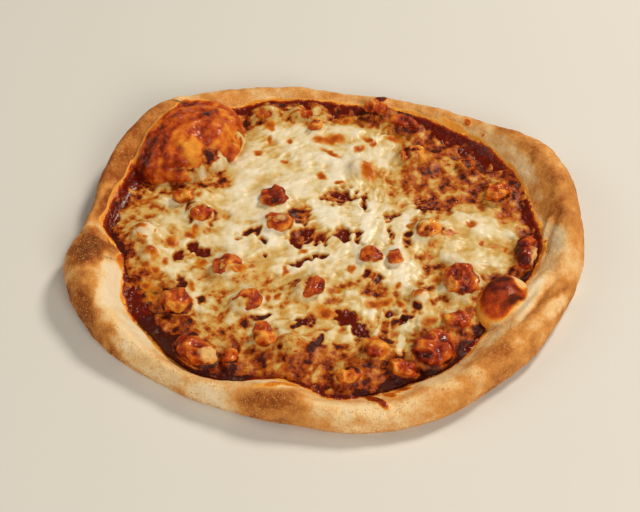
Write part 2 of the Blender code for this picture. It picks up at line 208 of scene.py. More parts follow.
# Extra lumps and single shreds of cheese, as (x, y, length, width, turn, height)
LUMPS = (
    (40, -70, 20, 4.5, 87, 2.6), (-26, -56, 11, 7, -8, 2.4), (-1, -68, 11, 8, 10, 1.8),
    (-54, -41, 12, 11, -14, 1.6), (-5, 27, 17, 3.2, -55, 1.5), (-16, 26, 5, 5, 0, 2.2),
    (-4, -90, 12, 7, 60, 1.2), (-85, -84, 8, 5, -20, 1.0), (52, 72, 10, 12, 70, 1.4),
    (8, 90, 14, 6, 20, 0.8), (66, 10, 12, 5, 70, 1.2),
)

# Gaps in the cheese through which the sauce shows, as (x, y, length, width, turn)
WINDOWS = (
    (8, 41, 14, 7, 0), (-16, 25, 10, 8, -1), (-11, 9, 16, 7, 7), (-17, 1, 6, 3, 7), (-13, -11, 11, 3, 23),
    (-4, -8, 10, 2, 16), (0, 7, 9, 2, 90), (11, 10, 8, 5, 82), (19, 8, 9, 2, 89), (-43, 11, 12, 3, 21),
    (-37, 5, 7, 2, -67), (39, 24, 9, 3, 0), (38, 8, 9, 2, 88), (47, 7, 11, 3, 87), (58, 33, 10, 6, 67),
    (67, 12, 7, 3, 54), (27, -23, 9, 4, -7), (29, -29, 4, 2, 88), (23, 36, 11, 2, 89), (73, 27, 5, 4, -38),
    (-70, -4, 5, 4, -77), (-84, -6, 5, 4, 69), (-76, 0, 4, 3, 48), (-35, -7, 3, 2, -86),
    (-81, -27, 7, 3, -84), (-68, -39, 5, 3, -33), (-13, -31, 7, 5, 47), (-12, -56, 8, 4, 15),
    (-34, -51, 10, 2, 26), (-6, -72, 9, 2, 66), (42, -54, 8, 2, 16), (35, -49, 5, 3, 1),
    (51, -43, 9, 3, 87), (33, -69, 4, 3, 2), (-67, 24, 7, 5, -85), (-78, 27, 12, 4, -79),
    (11, -51, 9, 6, -15), (19, -60, 8, 4, -68), (64, -82, 20, 6, 36),
)

# Toasted spots of the cheese, as (x, y, length, width, turn)
TOASTED = (
    (-34, 102, 7, 5, -86), (-22, 89, 4, 3, -87), (-40, 77, 4, 4, -84), (-34, 89, 6, 2, -88),
    (-26, 69, 4, 4, -86), (2, 89, 16, 7, 8), (3, 77, 12, 4, -36), (14, 109, 5, 5, 6), (26, 90, 6, 4, -70),
    (29, 85, 5, 4, 87), (21, 80, 6, 5, 52), (26, 61, 11, 8, 87), (-2, 57, 5, 4, 90), (9, 51, 4, 3, 1),
    (43, 92, 7, 6, 85), (15, -19, 4, 3, 85), (-23, -19, 7, 3, -89), (-13, -4, 5, 3, 0),
    (-15, 108, 16, 2, -5), (-99, -8, 6, 6, -64), (-91, -12, 4, 3, -70), (-70, -13, 5, 5, -62),
    (-96, -19, 5, 4, -73), (-99, -29, 6, 5, -73), (-93, -30, 3, 3, -60), (-75, -30, 7, 4, -83),
    (-96, -36, 5, 5, -51), (-107, 11, 9, 6, -32), (-88, 3, 6, 5, -77), (-78, 9, 7, 5, 16),
    (-75, 13, 5, 3, -82), (-32, -38, 4, 3, -86), (-26, -37, 4, 3, -87), (0, -48, 10, 6, -15),
    (26, -43, 7, 6, 5), (32, -41, 7, 5, 21), (51, -39, 6, 5, 79), (41, -30, 4, 3, 77), (62, -25, 6, 4, -78),
    (103, -3, 4, 3, 68), (90, 2, 3, 3, 66), (84, 17, 6, 4, 4), (73, 10, 7, 3, 16), (56, -55, 5, 5, 13),
    (63, -53, 6, 3, -83), (41, -43, 5, 3, -59), (7, -32, 4, 4, 24), (37, 19, 3, 3, 79), (51, 17, 8, 3, 68),
    (-49, -21, 9, 3, 25), (-60, -14, 3, 3, 0),
)

# The chunks of chicken, in the order of their nodes: how much cheese covers each, and how dark its glaze is
CHUNKS = (
    (0.08, 0.80), (0.35, 0.40), (0.75, 0.45), (0.36, 0.58), (0.05, 0.85), (0.22, 0.66), (0.50, 0.45),
    (0.30, 0.65), (0.35, 0.80), (0.36, 0.60), (0.50, 0.62), (0.12, 0.54), (0.45, 0.75), (0.36, 0.55),
    (0.12, 0.60), (0.38, 0.66), (0.95, 0.45), (0.40, 0.75), (0.50, 0.50), (0.08, 0.74), (0.38, 0.60),
    (0.30, 0.60), (0.48, 0.70), (0.95, 0.40), (0.75, 0.55), (0.75, 0.60), (0.30, 0.60), (0.28, 0.70),
    (0.60, 0.50), (0.65, 0.55), (0.60, 0.60), (0.85, 0.50), (0.95, 0.50), (0.88, 0.45),
)
CHUNK_NODES = [f"chicken_{number:02d}" for number in range(1, len(CHUNKS) + 1)]
CHUNK_LEAN = 137.5  # how far the covered side turns from one chunk to the next
CHUNK_CUTS = 3  # how often a chunk's faces are cut in four
PALE_ENDS = ((-61.5, -83.5, 8.5, 7.5, 20), (118, -13, 12, 5, 80), (-26, 17, 5, 4, 0))  # meat without glaze

# Colours between those that the user may change, as seen on a screen
CRUST_FLOUR, CHARRED_AND_SHADOW = (234, 190, 132), (34, 14, 8)
SMEARED_SAUCE, DEEP_SAUCE = (218, 112, 24), (130, 36, 8)
AMBER_GLAZE, RUST_GLAZE, RED_GLAZE = (236, 158, 58), (178, 62, 10), (132, 32, 6)
SAUCY_CHEESE, RUST_CHEESE, OILY_CHEESE = (66, 12, 1), (144, 54, 3), (220, 172, 66)
STRAW_CHEESE, IVORY_CHEESE = (212, 178, 112), (227, 208, 163)
GOLDEN_SPOT, AMBER_SPOT, BROWN_SPOT = (212, 164, 70), (210, 130, 18), (184, 86, 8)
DARK_GRAIN = (216, 150, 76)

# The stage
AIM = (-4.56, -4.90, 0)  # middle of the view, in millimetres from the origin
VIEW_ANGLE = 28  # from the left edge of the view to the right one
LIGHTS = (  # name, place and width in metres, power, tint
    ("key", (0.9, 0.9, 1.35), 0.45, 23.5, (1.0, 0.90, 0.73)),
    ("fill", (-1.1, 0.1, 0.9), 0.8, 4.0, (1.0, 0.89, 0.70)),
    ("front", (0.5, -1.2, 0.8), 0.8, 13.0, (1.0, 0.91, 0.75)),
)
WORLD_TINT, WORLD_STRENGTH = (1, 0.93, 0.81, 1), 0.12

CRUMB_FRONT = (176, 335)  # bearings between which there is semolina
CRUMB_BATCHES = 60  # each call of an operator walks over all that its bmesh holds


def linear(rgb):
    """A colour as seen on a screen, 0 to 255, turned into the light it stands for."""
    return tuple((c / 255 / 12.92) if c <= 10 else ((c / 255 + 0.055) / 1.055) ** 2.4 for c in rgb)


def rgba(colour):
    """A colour for a node, from one that the user may change or from one as seen on a screen."""
    return (*(linear(colour) if isinstance(colour, tuple) else colour), 1)


def smooth(t):
    """A step from 0 to 1 that starts and ends level."""
    t = np.clip(t, 0.0, 1.0)
    return t * t * (3 - 2 * t)


def higher(a, b, blend):
    """The higher of two heights, with their meeting line rounded over a width of about blend."""
    share = np.clip(0.5 + 0.5 * (a - b) / blend, 0.0, 1.0)
    return b + (a - b) * share + blend * share * (1 - share)


class Uneven:
    """Seeded smooth unevenness, from about -1 to 1, read at many places at once."""

    def __init__(self, seed):
        draw = np.random.default_rng(seed)
        self.order = draw.permutation(256)
        ways = draw.normal(size=(256, 3))
        self.ways = ways / np.linalg.norm(ways, axis=1)[:, None]

    def __call__(self, places, size):
        places = places / size
        cell = np.floor(places).astype(int)
        part = places - cell
        ease = part**3 * (part * (part * 6 - 15) + 10)
        total = np.zeros(len(places))
        for corner in itertools.product((0, 1), repeat=3):
            a, b, c = (cell[:, k] + corner[k] for k in range(3))
            way = self.ways[self.order[(self.order[(self.order[a & 255] + b) & 255] + c) & 255]]
            share = np.prod(np.where(corner, ease, 1 - ease), axis=1)
            total += share * np.einsum("ij,ij->i", way, part - corner)
        return 1.7 * total


def flat(x, y):
    """Places on the table plane, for the unevenness to read."""
    return np.column_stack((x, y, np.zeros(len(x))))


def around(column, bearing):
    """One column of the rim's table at bearings in degrees, on a smooth closed curve."""
    rows = np.array(RIM, dtype=float)
    index = np.searchsorted(rows[:, 0], bearing, side="right") + np.array([[-2], [-1], [0], [1]])
    turns, place = np.divmod(index, len(rows))
    b0, b1, b2, b3 = rows[place, 0] + 360 * turns
    v0, v1, v2, v3 = rows[place, column]
    t = (bearing - b1) / (b2 - b1)
    slope1 = (v2 - v0) / (b2 - b0) * (b2 - b1)
    slope2 = (v3 - v1) / (b3 - b1) * (b2 - b1)
    curve = (2 * t**3 - 3 * t**2 + 1) * v1 + (t**3 - 2 * t**2 + t) * slope1
    return curve + (3 * t**2 - 2 * t**3) * v2 + (t**3 - t**2) * slope2


def rim_curves():
    """Reach, sauce line, crest radius and height, and the cheese's edge, at every quarter of a degree."""
    bearing = np.arange(0, 360, 0.25)
    a = np.radians(bearing)
    reach, line, height, bare = (around(column, bearing) for column in (1, 2, 3, 4))
    crest = reach - CREST_SHARE * (reach - line)
    lumps = [noise.noise(Vector((r * math.cos(t), r * math.sin(t), 0)) / LUMP_SIZE) for r, t in zip(crest, a)]
    waves = [sum(noise.noise(Vector((n * math.cos(t), n * math.sin(t), n))) for n in EDGE_WAVES) for t in a]
    edge = line - bare * (1 - np.array(waves) / len(EDGE_WAVES))
    height = height + LUMP_HEIGHT * np.array(lumps)
    return {"bearing": bearing, "reach": reach, "line": line, "crest": crest, "height": height, "edge": edge}


CURVES = rim_curves()


def rim(name, bearing):
    return np.interp(bearing, CURVES["bearing"], CURVES[name], period=360)


def slope_start(bearing):
    return rim("line", bearing) - SLOPE_RUN - SLOPE_SWING * np.sin(np.radians(bearing))


def dough_height(bearing, radius):
    """Height of the dough's upper surface inside the crest, without its bubbles."""
    start = slope_start(bearing)
    share = smooth((radius - start) / (rim("crest", bearing) - start))
    return FLOOR + (rim("height", bearing) - FLOOR) * share


def polar(x, y):
    """Bearing and radius of places."""
    return np.degrees(np.arctan2(y, x)) % 360, np.hypot(x, y)


def plan(bearing, radius):
    """The x and y of places given by bearing and radius."""
    return radius * np.cos(np.radians(bearing)), radius * np.sin(np.radians(bearing))


def turned(x, y, turn):
    """Places measured along a bearing and aside from it."""
    c, s = math.cos(math.radians(turn)), math.sin(math.radians(turn))
    return x * c + y * s, y * c - x * s


def sauce_top(x, y, ripples):
    """Height of the sauce. It thins up the slope and dips under the dough just past its line."""
    bearing, radius = polar(x, y)
    line, start = rim("line", bearing), slope_start(bearing)
    depth = SAUCE_DEPTH + (SAUCE_EDGE_DEPTH - SAUCE_DEPTH) * smooth((radius - start) / (line - start))
    places = flat(x, y)
    wobble = 0.5 * ripples(places, 11) + 0.22 * ripples(places, 4.5)
    past = np.clip(radius - line + 1.2 + 1.1 * ripples(places, 6), 0, None)
    return dough_height(bearing, radius) + GAP + depth + wobble * smooth((line - radius) / 5) - 0.55 * past


def across(x, y, cx, cy, length, width, turn):
    """How far places lie from the middle of a turned ellipse: 1 on its edge."""
    along, aside = turned(x - cx, y - cy, turn)
    return np.hypot(along / (length / 2), aside / (width / 2))


def spot(x, y, place, soft=0.35, wander=0.0):
    """1 inside an ellipse, fading to 0 over a soft edge that may wander."""
    return smooth((1 + soft - across(x, y, *place[:5]) - wander) / (2 * soft))


def off_line(x, y, line):
    """Distance to a line through the given places, seen from above."""
    places = np.column_stack((x, y))
    near = np.full(len(x), 1e9)
    for start, end in zip(np.array(line, dtype=float), np.array(line[1:], dtype=float)):
        way = end - start
        share = np.clip((places - start) @ way / (way @ way), 0, 1)
        near = np.minimum(near, np.linalg.norm(places - start - share[:, None] * way, axis=1))
    return near


def inside(x, y, outline):
    """Distance in from the edge of an outline, less than 0 outside it."""
    odd = np.zeros(len(x), dtype=bool)
    for (x0, y0), (x1, y1) in zip(outline, (*outline[1:], outline[0])):
        if y0 != y1:
            odd ^= ((y0 > y) != (y1 > y)) & (x < x0 + (y - y0) * (x1 - x0) / (y1 - y0))
    return np.where(odd, 1, -1) * off_line(x, y, (*outline, outline[0]))


def mesh_of(name, body):
    """Turns a bmesh into a mesh with smooth shading."""
    mesh = bpy.data.meshes.new(name)
    body.to_mesh(mesh)
    body.free()
    mesh.shade_smooth()
    return mesh


def read(items, what):
    """Three numbers for each vertex or normal of a mesh."""
    rows = np.empty(3 * len(items), dtype=np.float32)
    items.foreach_get(what, rows)
    return rows.reshape(-1, 3).astype(float)


def drawn(mesh):
    """A mesh's places in millimetres, in the frame of the tables."""
    return read(mesh.vertices, "co") / MM + MIDDLE


def normals(mesh):
    return read(mesh.vertex_normals, "vector")


def write(mesh, places):
    """Writes places in millimetres into a mesh, moved to the origin."""
    mesh.vertices.foreach_set("co", ((places - MIDDLE) * MM).astype(np.float32).ravel())
    mesh.update()


def paint(mesh, **values):
    """Keeps numbers for each vertex, for the finish to read."""
    for name, numbers in values.items():
        layer = mesh.attributes.new(name, "FLOAT", "POINT")
        layer.data.foreach_set("value", numbers.astype(np.float32))


def add_object(name, data):
    added = bpy.data.objects.new(name, data)
    bpy.context.scene.collection.objects.link(added)
    return added


def add_piece(name, mesh, finish, slot, *nodes):
    """Adds a finished piece that rides on the pizza and stands for some of its solids."""
    piece = add_object(name, mesh)
    mesh.materials.append(finish)
    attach(piece, BODY)
    if nodes:
        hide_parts(*nodes)


def round_mesh(name, stations, rings):
    """A closed round mesh, with the ring and the bearing of each of its vertices."""
    body = bmesh.new()
    bmesh.ops.create_grid(body, x_segments=stations, y_segments=rings, size=1)
    for corner in body.verts:
        turn, down = math.pi * (corner.co.x + 1), math.pi / 2 * (corner.co.y + 1)
        corner.co = (math.sin(down) * math.cos(turn), math.sin(down) * math.sin(turn), math.cos(down))
    bmesh.ops.remove_doubles(body, verts=body.verts, dist=1e-5)
    bmesh.ops.recalc_face_normals(body, faces=body.faces)
    mesh = mesh_of(name, body)
    places = read(mesh.vertices, "co")
    ring = np.rint(np.arccos(np.clip(places[:, 2], -1, 1)) / math.pi * rings).astype(int)
    bearing, _ = polar(places[:, 0], places[:, 1])
    bearing[(ring == 0) | (ring == rings)] = 0
    return mesh, ring, bearing


class Link:
    """A number in a finish, which sums like a plain one."""

    def __init__(self, finish, socket):
        self.finish, self.socket = finish, socket

    def sum(self, operation, *values):
        return self.finish.node("ShaderNodeMath", {"operation": operation}, dict(enumerate(values)))

    def __add__(self, other):
        return self.sum("ADD", self, other)

    def __sub__(self, other):
        return self.sum("SUBTRACT", self, other)

    def __mul__(self, other):
        return self.sum("MULTIPLY", self, other)

    def __rsub__(self, other):
        return self.sum("SUBTRACT", other, self)

    __radd__, __rmul__ = __add__, __mul__

    def step(self, low, high):
        """A smooth step from 0 at low to 1 at high."""
        settings = {"interpolation_type": "SMOOTHSTEP"}
        return self.finish.node("ShaderNodeMapRange", settings, {0: self, 1: low, 2: high, 3: 0.0, 4: 1.0})


class Finish:
    """A procedural material being put together."""

    def __init__(self, name, **constants):
        self.material = bpy.data.materials.new(name)
        self.material.use_nodes = True
        self.tree = self.material.node_tree
        self.shader = self.tree.nodes["Principled BSDF"]
        for socket, value in constants.items():
            self.shader.inputs[socket.replace("_", " ")].default_value = value
        self.places = self.node("ShaderNodeTexCoord", out="Object")

    def node(self, kind, settings=None, sockets=None, out=0):
        """Adds a node: its settings first, then the values or links of its sockets."""
        made = self.tree.nodes.new(kind)
        for name, value in (settings or {}).items():
            if name == "stops":
                self.set_stops(made.color_ramp, value)
            else:
                setattr(made, name, value)
        for key, value in (sockets or {}).items():
            if isinstance(value, Link):
                self.tree.links.new(value.socket, made.inputs[key])
            else:
                made.inputs[key].default_value = value
        return Link(self, made.outputs[out])

    @staticmethod
    def set_stops(ramp, stops):
        while len(ramp.elements) < len(stops):
            ramp.elements.new(0.5)
        for element, (place, colour) in zip(ramp.elements, stops):
            element.position = place
            element.color = rgba(colour)

    def painted(self, name):
        """A number painted on the piece."""
        return self.node("ShaderNodeAttribute", {"attribute_name": name}, out="Fac")

    def uneven(self, size, detail=2.0, rough=0.55):
        """Unevenness about 0, from -1 to 1, with patches of a size in millimetres."""
        sockets = {"Vector": self.places, "Scale": 1 / (size * MM), "Detail": detail, "Roughness": rough}
        return 2.4 * (self.node("ShaderNodeTexNoise", None, sockets, "Fac") - 0.5)

    def cells(self, size):
        """Distance to the nearest of scattered points, in units of a size in millimetres."""
        sockets = {"Vector": self.places, "Scale": 1 / (size * MM)}
        return self.node("ShaderNodeTexVoronoi", None, sockets, "Distance")

    def ramp(self, number, *stops):
        """Colours along a number, as (number, colour)."""
        return self.node("ShaderNodeValToRGB", {"stops": stops}, {0: number}, "Color")

    def mix(self, share, first, second):
        """One colour laid over another."""
        first, second = (c if isinstance(c, Link) else rgba(c) for c in (first, second))
        return self.node("ShaderNodeMix", {"data_type": "RGBA"}, {0: share, 6: first, 7: second}, 2)

    def bump(self, height, distance, before=None):
        """Fine relief of a height in millimetres."""
        sockets = {"Height": height, "Distance": distance * MM, "Strength": 1.0}
        if before:
            sockets["Normal"] = before
        return self.node("ShaderNodeBump", None, sockets)

    def feed(self, **links):
        """Links what varies over the surface to the shader."""
        for socket, link in links.items():
            self.tree.links.new(link.socket, self.shader.inputs[socket.replace("_", " ")])
        return self.material


def colour(name, text, rgb):
    """A colour that a user may change."""
    return bpy.props.FloatVectorProperty(
        name=name, description=text, subtype="COLOR", size=3, min=0, max=1, default=linear(rgb)
    )


def size(name, text, value):
    """A size in metres that a user may change, given in millimetres."""
    return bpy.props.FloatProperty(
        name=name, description=text, default=value * MM, min=0, subtype="DISTANCE", unit="LENGTH"
    )


class DoughLook(bpy.types.PropertyGroup):
    floury: colour("Floury", "Crust that stayed pale under flour", (246, 226, 194))
    pale: colour("Pale", "Crust that has barely coloured", (243, 207, 152))
    golden: colour("Golden", "Crust that is baked through", (220, 151, 76))
    brown: colour("Brown", "Crust that has browned", (162, 86, 27))
    dark: colour("Dark", "The darkest spots of the crust", (92, 46, 18))
    lump: size("Lumps", "Height of the crust's uneven lumps", 0.9)


class SauceLook(bpy.types.PropertyGroup):
    thick: colour("Thick", "Sauce where it lies deep", (94, 18, 3))
    thin: colour("Thin", "Sauce where it thins out", (182, 64, 8))
    stain: colour("Stain", "Dough that has soaked up oil and sauce", (244, 174, 68))


class CheeseLook(bpy.types.PropertyGroup):
    cream: colour("Cream", "Thick melted cheese", (241, 232, 212))
    yellow: colour("Yellow", "Cheese with oil in it", (204, 158, 78))
    orange: colour("Orange", "Cheese that lies thin over sauce", (188, 100, 20))
    toasted: colour("Toasted", "Toasted spots", (150, 64, 10))


class ChickenLook(bpy.types.PropertyGroup):
    glaze: colour("Glaze", "Deep glaze", (74, 14, 4))
    thin_glaze: colour("Thin glaze", "Glaze where it runs thin", (212, 108, 22))
    meat: colour("Meat", "Meat that the glaze has missed", (232, 186, 120))


class CrumbLook(bpy.types.PropertyGroup):
    count: bpy.props.IntProperty(
        name="Grains", description="Number of semolina grains on the crust", default=2800, min=0, max=8000
    )
    width: size("Grain", "Width of a grain", 0.55)
    tint: colour("Tint", "Colour of the grains", (220, 166, 96))


class StageLook(bpy.types.PropertyGroup):
    distance: bpy.props.FloatProperty(
        name="Distance", description="From the camera to what it aims at", default=0.7407, unit="LENGTH"
    )
    elevation: bpy.props.FloatProperty(
        name="Elevation", description="Angle of the view", default=math.radians(47.93), subtype="ANGLE"
    )
    floor: colour("Floor", "The floor under the pizza", (222, 222, 222))


# Dough


def warp_to_bubble(x, y, bubble):
    """Draws places inside a bubble's outline towards its edge, where its wall is steep."""
    cx, cy, *_ = bubble
    share = across(x, y, *bubble[:5])
    bearing, radius = polar(x, y)
    held = smooth((rim("crest", bearing) - radius) / 14)
    pull = np.where(share < 1, np.sin(np.clip(share, 0, 1) * math.pi / 2) / np.maximum(share, 1e-6), 1)
    pull = 1 + (np.where(share < 1e-3, math.pi / 2, pull) - 1) * held
    return cx + (x - cx) * pull, cy + (y - cy) * pull


def bubble_height(x, y, bubble):
    """Height of a bubble's skin, which falls away steeply outside its outline."""
    share = across(x, y, *bubble[:5])
    middle, rise = bubble[5:7]
    return middle + rise * np.sqrt(np.clip(1 - share**2, 0, None)) - WALL_FALL * np.clip(share - 1, 0, None)


def dough_form(mesh, ring, bearing):
    """Places the dough's vertices on its section, with the bubbles raised. Also gives each one's stretch."""
    stretch = np.concatenate(([0], np.repeat(np.arange(6), STRETCH_RINGS)))[ring]
    share = np.concatenate(([0], *(np.arange(1, n + 1) / n for n in STRETCH_RINGS)))[ring]
    reach, line, crest, height = (rim(name, bearing) for name in ("reach", "line", "crest", "height"))
    foot = reach - FOOT_SHARE * (reach - line)
    waist = WAIST_SHARE * height
    a = share * math.pi / 2
    radius = np.choose(
        stretch,
        (
            share * INNER,
            INNER + share * (line - INNER),
            line + share * (crest - line),
            crest + (reach - crest) * np.sin(a),
            foot + (reach - foot) * np.cos(a),
            foot * (1 - share),
        ),
    )
    x, y = plan(bearing, radius)
    outer_side = (waist + (height - waist) * np.cos(a), waist * (1 - np.sin(a)), 0 * a)
    z = np.choose(np.clip(stretch - CREST, 0, 2), outer_side)
    top = stretch < CREST
    tx, ty = x[top], y[top]
    for bubble in (LOBE, BLISTER):
        tx, ty = warp_to_bubble(tx, ty, bubble)
    tz = dough_height(*polar(tx, ty))
    for bubble in BUBBLES:
        tz = higher(tz, bubble_height(tx, ty, bubble), bubble[7])
    x[top], y[top], z[top] = tx, ty, tz
    write(mesh, np.column_stack((x, y, z)))
    return stretch


def dough_relief(places, lump):
    """How far the crust stands out or in from its smooth form."""
    x, y, _ = places.T
    broad, fine = Uneven(11), Uneven(12)
    relief = lump * (broad(places, 24) + 0.55 * broad(places, 9))
    relief += 0.24 * fine(places, 4)
    relief += 0.1 * fine(places, 2.2)
    for line, half, depth in CREASES:
        relief -= depth * np.exp(-((off_line(x, y, line) / half) ** 2))
    for swell in LOBE_SWELLS:
        relief += swell[5] * spot(x, y, swell, 0.5)
    in_lobe = smooth(inside(x, y, LOBE_OUTLINE) / 4)
    relief += in_lobe * (1.6 * broad(places, 15) + 1.4 * broad(places, 7) + 0.8 * fine(places, 3.4))
    for dab in DABS:
        relief += dab[6] * spot(x, y, dab, 0.3)
    return relief


def sauce_on_crust(places):
    """How thick the sauce lies on the crust, from 0 for none to 1."""
    x, y, _ = places.T
    broad, fine = Uneven(21), Uneven(22)
    wander = 0.3 * broad(places, 6)
    bearing, radius = polar(x, y)
    past = radius - rim("line", bearing)
    sauced = 0.3 * smooth(1 - (past - 0.4 - 1.6 * broad(places, 12)) / 2)
    depth = inside(x, y, LOBE_OUTLINE) + 1.2 * broad(places, 8)
    skin = np.full(len(x), 0.58)
    ragged = 0.5 * broad(places, 7) + 0.3 * fine(places, 3)
    for patch in LOBE_SAUCE:
        skin += (patch[5] - skin) * spot(x, y, patch, 0.5, ragged)
    along, aside = turned(x, y, LOBE_GRAIN)
    streaks = broad(np.column_stack((along / 3, aside, 0 * x)), 3.6)
    skin += 0.16 * broad(places, 5) + 0.12 * fine(places, 2.4) + 0.2 * streaks
    sauced = np.maximum(sauced, 0.4 * smooth(depth / 1.2 + 0.8) + (skin - 0.4) * smooth((depth - 0.2) / 1.4))
    share = across(x, y, *BLISTER[:5])
    dx, dy = x - BLISTER[0], y - BLISTER[1]
    coat = 0.8 - 0.008 * dx + 0.014 * dy + 0.18 * broad(places, 6) + 0.1 * fine(places, 2.4)
    coat *= smooth((19 - dx + 1.1 * dy + 4 * broad(places, 7)) / 7)
    coat *= 1 - spot(x, y, BLISTER_KNOB, 0.4, wander)
    on_blister = smooth((0.98 - share) / 0.1)
    sauced += (np.clip(coat, 0.0, 0.9) * smooth((0.97 - share) / 0.2) - sauced) * on_blister
    for dab in DABS:
        sauced = np.maximum(sauced, dab[5] * spot(x, y, dab, 0.3, wander))
    return np.clip(sauced, 0, 1)


def baking(places, stretch):
    """How far the crust is baked, from 0 for floury to 1 for burnt, with painted light and shade in some
    patches.
    """
    x, y, _ = places.T
    broad = Uneven(31)
    wander = 0.45 * broad(places, 11) + 0.2 * broad(places, 4)
    baked = 0.34 + 0.1 * broad(places, 28)
    for patch in BAKED_AND_PAINTED_LIGHT:
        baked += (patch[5] - baked) * spot(x, y, patch, 0.55, wander)
    bearing, radius = polar(x, y)
    baked -= 0.1 * smooth((rim("crest", bearing) - radius) / 7) * smooth((20 - y) / 30)
    baked += 0.06 * np.clip(1 - places[:, 2] / 7, 0, 1) * (stretch >= CREST)
    return np.clip(baked + 0.1 * broad(places, 13) + 0.08 * broad(places + 200, 6), 0, 1)


def burns_and_fold_shadow(places):
    """How far the crust is burnt black, from 0 to 1, with one line that is partly a painted shadow."""
    x, y, _ = places.T
    wander = 0.5 * Uneven(41)(places, 3)
    return np.max([burn[5] * spot(x, y, burn, 0.4, wander) for burn in BURNS_AND_FOLD_SHADOW], axis=0)


def dough_finish(look, sauce):
    made = Finish("baked_dough", IOR=1.42, Specular_IOR_Level=0.25, Coat_Roughness=0.1)
    baked, sauced, burnt, dry = (made.painted(name) for name in ("baked", "sauced", "burnt", "dry"))
    grain = made.uneven(1.1, 3)
    blotch = made.uneven(5, 4, 0.65)
    speck = made.uneven(1.5, 3, 0.7).step(0.1, 0.6)
    mottle = made.uneven(2.6, 4, 0.7)
    tone = baked + 0.08 * grain + (0.14 * blotch + 0.14 * mottle) * (0.3 + baked)
    crust = made.ramp(
        tone, (0.0, look.floury), (0.24, look.pale), (0.42, look.golden), (0.68, look.brown),
        (0.95, look.dark),
    )
    floured = speck * baked.step(0.36, 0.7) * 0.6
    crust = made.mix(floured, crust, CRUST_FLOUR)
    wet = sauced + sauced * (0.4 * blotch + 0.18 * grain)
    red = made.ramp(
        wet, (0.0, look.pale), (0.2, sauce.stain), (0.42, SMEARED_SAUCE), (0.62, sauce.thin),
        (0.95, sauce.thick),
    )
    skin = made.mix(wet.step(0.05, 0.2), crust, red)
    # Burnt spots, and a painted shadow line along the fold over the lobe
    skin = made.mix(burnt, skin, CHARRED_AND_SHADOW)
    shine = wet.step(0.3, 0.62) * (1 - 0.8 * dry)
    rough = 0.78 - 0.48 * shine + 0.3 * burnt
    fine = made.bump(made.uneven(0.8, 3), 0.16)
    relief = made.bump(made.uneven(3.2, 3), 0.30, fine)
    relief = made.bump(made.uneven(3.6, 1) * shine, 0.8, relief)
    return made.feed(Base_Color=skin, Roughness=rough, Coat_Weight=0.2 * shine, Normal=relief)


class PIZZA_OT_dough(bpy.types.Operator):
    """Makes the baked dough, with its bubbles, creases and browned patches"""

    bl_idname = "pizza.dough"
    bl_label = "Dough"

    def execute(self, context):
        scene = context.scene
        mesh, ring, bearing = round_mesh("baked_crust", DOUGH_STATIONS, sum(STRETCH_RINGS))
        stretch = dough_form(mesh, ring, bearing)
        places = drawn(mesh)
        x, y, z = places.T
        turn, radius = polar(x, y)
        past = smooth((radius - rim("line", turn)) / 3)
        raised = smooth((z - dough_height(turn, radius) - 2) / 3) * (stretch < CREST)
        shown = np.maximum(past, raised) * (stretch < FOOT) * smooth(z / 6)
        relief = shown * dough_relief(places, scene.pizza_dough.lump / MM)
        write(mesh, places + normals(mesh) * relief[:, None])
        sauced = sauce_on_crust(places) * (stretch < WAIST)
        dry = smooth((1.2 - across(x, y, *BLISTER[:5])) / 0.2)
        paint(mesh, baked=baking(places, stretch), sauced=sauced, burnt=burns_and_fold_shadow(places), dry=dry)
        finish = dough_finish(scene.pizza_dough, scene.pizza_sauce)
        add_piece("baked_crust", mesh, finish, "baked_dough", "dough")
        return {"FINISHED"}


# Sauce


def sauce_finish(look):
    made = Finish("barbecue_sauce", IOR=1.42, Specular_IOR_Level=0.25, Coat_Weight=0.1, Coat_Roughness=0.06)
    depth = made.painted("depth")
    blotch, grain = made.uneven(6, 3, 0.65), made.uneven(2.2, 3, 0.65)
    tone = depth - 0.1 + 0.55 * blotch + 0.35 * grain
    red = made.ramp(tone, (0.0, look.stain), (0.22, look.thin), (0.5, DEEP_SAUCE), (0.85, look.thick))
    bubbles = made.cells(3.4).step(0.55, 0.1)
    relief = made.bump(made.uneven(3.5, 2), 0.6, made.bump(bubbles, 0.25))
    return made.feed(Base_Color=red, Roughness=0.24 + 0.08 * blotch, Normal=relief)


class PIZZA_OT_sauce(bpy.types.Operator):
    """Spreads the barbecue sauce over the dough"""

    bl_idname = "pizza.sauce"
    bl_label = "Sauce"

    def execute(self, context):
        mesh, ring, bearing = round_mesh("sauce_layer", SAUCE_STATIONS, SAUCE_RINGS + SAUCE_UNDER_RINGS)
        share = np.minimum(ring / SAUCE_RINGS, 1 - (ring - SAUCE_RINGS) / SAUCE_UNDER_RINGS)
        radius = share * (rim("line", bearing) + SAUCE_TUCK)
        x, y = plan(bearing, radius)
        under = dough_height(bearing, radius) - SAUCE_SUNK
        z = np.where(ring <= SAUCE_RINGS, np.maximum(sauce_top(x, y, Uneven(51)), under + 0.1), under)
        write(mesh, np.column_stack((x, y, z)))
        paint(mesh, depth=smooth((rim("line", bearing) - radius + 0.8) / 2.4))
        finish = sauce_finish(context.scene.pizza_sauce)
        add_piece("sauce_layer", mesh, finish, "barbecue_sauce", "barbecue_sauce")
        return {"FINISHED"}


# Chicken


def chunk_forms():
    """Each chunk as its solid gives it, as (x, y, length, width, turn, height of its base and of its top)."""
    forms = []
    for node in CHUNK_NODES:
        places = drawn(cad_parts[node].data)
        middle = (places.min(axis=0) + places.max(axis=0)) / 2
        seen = places[:, :2] - middle[:2]
        _, ways = np.linalg.eigh(np.cov(seen.T))
        along, wide = np.abs(seen @ ways[:, ::-1]).max(axis=0)
        turn = math.degrees(math.atan2(ways[1, 1], ways[0, 1]))
        base, top = places[:, 2].min(), places[:, 2].max()
        forms.append((middle[0], middle[1], 2 * along, 2 * wide, turn, base, top))
    return forms


